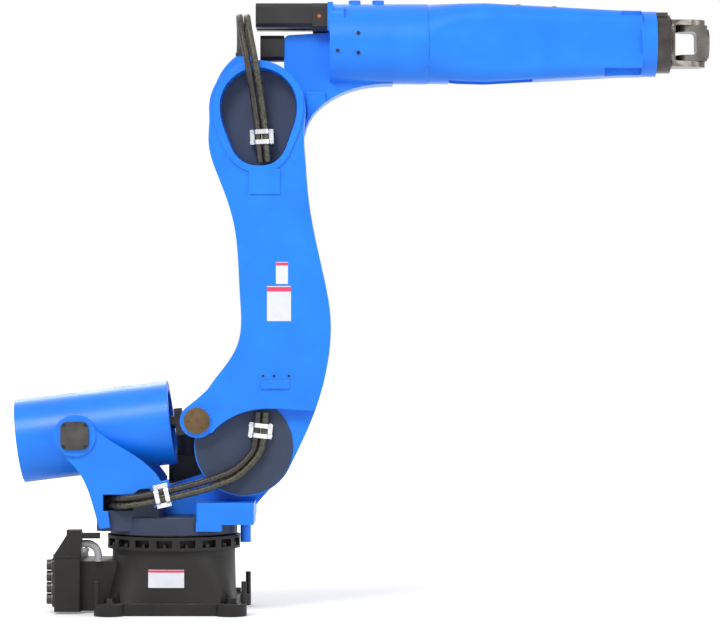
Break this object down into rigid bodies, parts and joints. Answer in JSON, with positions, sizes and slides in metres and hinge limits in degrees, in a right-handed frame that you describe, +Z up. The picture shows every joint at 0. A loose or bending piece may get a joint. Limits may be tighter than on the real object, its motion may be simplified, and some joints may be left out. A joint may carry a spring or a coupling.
{
  "type": "industrial robot arm",
  "caption": "Articulated industrial robot arm in bright blue on a black cast foot, with a cylindrical spring balancer behind the lower arm",
  "frame": {"origin": "on the floor, on the turning axis of the carousel, under the base", "axes": "+Z up, +X from the base towards the tool, -Y the side that carries the lower arm"},
  "size_m": [2.2138, 0.565, 1.949],
  "materials": {
    "black_paint": "cast iron, black paint",
    "blue_paint": "cast iron and steel, bright blue paint",
    "dark_steel": "dark machined steel",
    "bronze_steel": "bronzed steel",
    "grey_steel": "warm grey machined steel",
    "slate_paint": "cast iron and sheet steel, blue grey paint",
    "grey_plastic": "light grey plastic",
    "black_plastic": "black plastic",
    "bright_zinc": "bright zinc plated steel",
    "hose_rubber": "ribbed cable hose of dark rubber",
    "black_motor": "aluminium motor, black coat"
  },
  "bodies": {
    "root": {"base_casting": "black_paint", "slewing_ring": "dark_steel", "connector_box": "black_paint", "connector_box_lid": "black_paint", "rear_connector_panel": "dark_steel", "terminal_block": "black_paint", "cable_conduit": "grey_plastic"},
    "carousel": {"turntable": "slate_paint", "carousel_casting": "blue_paint", "shoulder_reducer": "dark_steel", "carousel_clamp": "bright_zinc", "carousel_hose_1": "hose_rubber", "carousel_hose_2": "hose_rubber", "balancer_bracket_near": "blue_paint", "balancer_bracket_far": "blue_paint", "trunnion_cap_near": "dark_steel", "trunnion_cap_far": "dark_steel", "shoulder_motor": "black_motor", "slew_motor": "black_motor", "stop_pin": "blue_paint"},
    "balancer": {"balancer_barrel": "blue_paint"},
    "rod": {"balancer_rod": "dark_steel"},
    "lower_arm": {"lower_arm_casting": "blue_paint", "balancer_pin": "bronze_steel", "shoulder_cover_plate": "slate_paint", "elbow_cover_plate": "slate_paint", "shoulder_clamp": "bright_zinc", "elbow_clamp": "bright_zinc", "shoulder_hose_1": "hose_rubber", "shoulder_hose_2": "hose_rubber", "arm_hose_1": "hose_rubber", "arm_hose_2": "hose_rubber"},
    "elbow": {"elbow_casting": "blue_paint", "elbow_motor": "black_motor", "wrist_bend_motor": "black_motor", "tool_roll_motor": "black_motor", "forearm_roll_motor": "black_motor", "elbow_connectors": "black_plastic", "elbow_hose_1": "hose_rubber", "elbow_hose_2": "hose_rubber"},
    "forearm": {"forearm_casting": "blue_paint", "neck_ring": "grey_steel", "wrist_fork": "grey_steel"},
    "wrist": {"wrist_core": "grey_steel"},
    "tool": {"tool_flange": "grey_steel"}
  },
  "joints": [
    {"name": "carousel_turn", "type": "hinge", "parent": "root", "child": "carousel", "pos_m": [0, 0, 0.251], "axis": [0, 0, 1], "range_deg": [-180, 180]},
    {"name": "shoulder", "type": "hinge", "parent": "carousel", "child": "lower_arm", "pos_m": [0.23, -0.05, 0.53], "axis": [0, 1, 0], "range_deg": [-30, 75]},
    {"name": "balancer_swing", "type": "hinge", "parent": "carousel", "child": "balancer", "pos_m": [-0.3, -0.02, 0.565], "axis": [0, 1, 0], "range_deg": [-12, 5]},
    {"name": "rod_pivot", "type": "hinge", "parent": "lower_arm", "child": "rod", "pos_m": [0.083, -0.02, 0.612], "axis": [0, 1, 0], "range_deg": [-87, 35]},
    {"name": "elbow_bend", "type": "hinge", "parent": "lower_arm", "child": "elbow", "pos_m": [0.27, -0.05, 1.59], "axis": [0, 1, 0], "range_deg": [-110, 65]},
    {"name": "forearm_roll", "type": "hinge", "parent": "elbow", "child": "forearm", "pos_m": [0.814, 0, 1.81], "axis": [1, 0, 0], "range_deg": [-180, 180]},
    {"name": "wrist_bend", "type": "hinge", "parent": "forearm", "child": "wrist", "pos_m": [1.65, 0, 1.81], "axis": [0, 0, 1], "range_deg": [-90, 90]},
    {"name": "tool_roll", "type": "hinge", "parent": "wrist", "child": "tool", "pos_m": [1.709, 0, 1.81], "axis": [1, 0, 0], "range_deg": [-180, 180]}
  ],
  "couplings": [
    {"joint": "balancer_swing", "follows": "shoulder", "ratio": -0.16},
    {"joint": "rod_pivot", "follows": "shoulder", "ratio": -1.16}
  ]
}
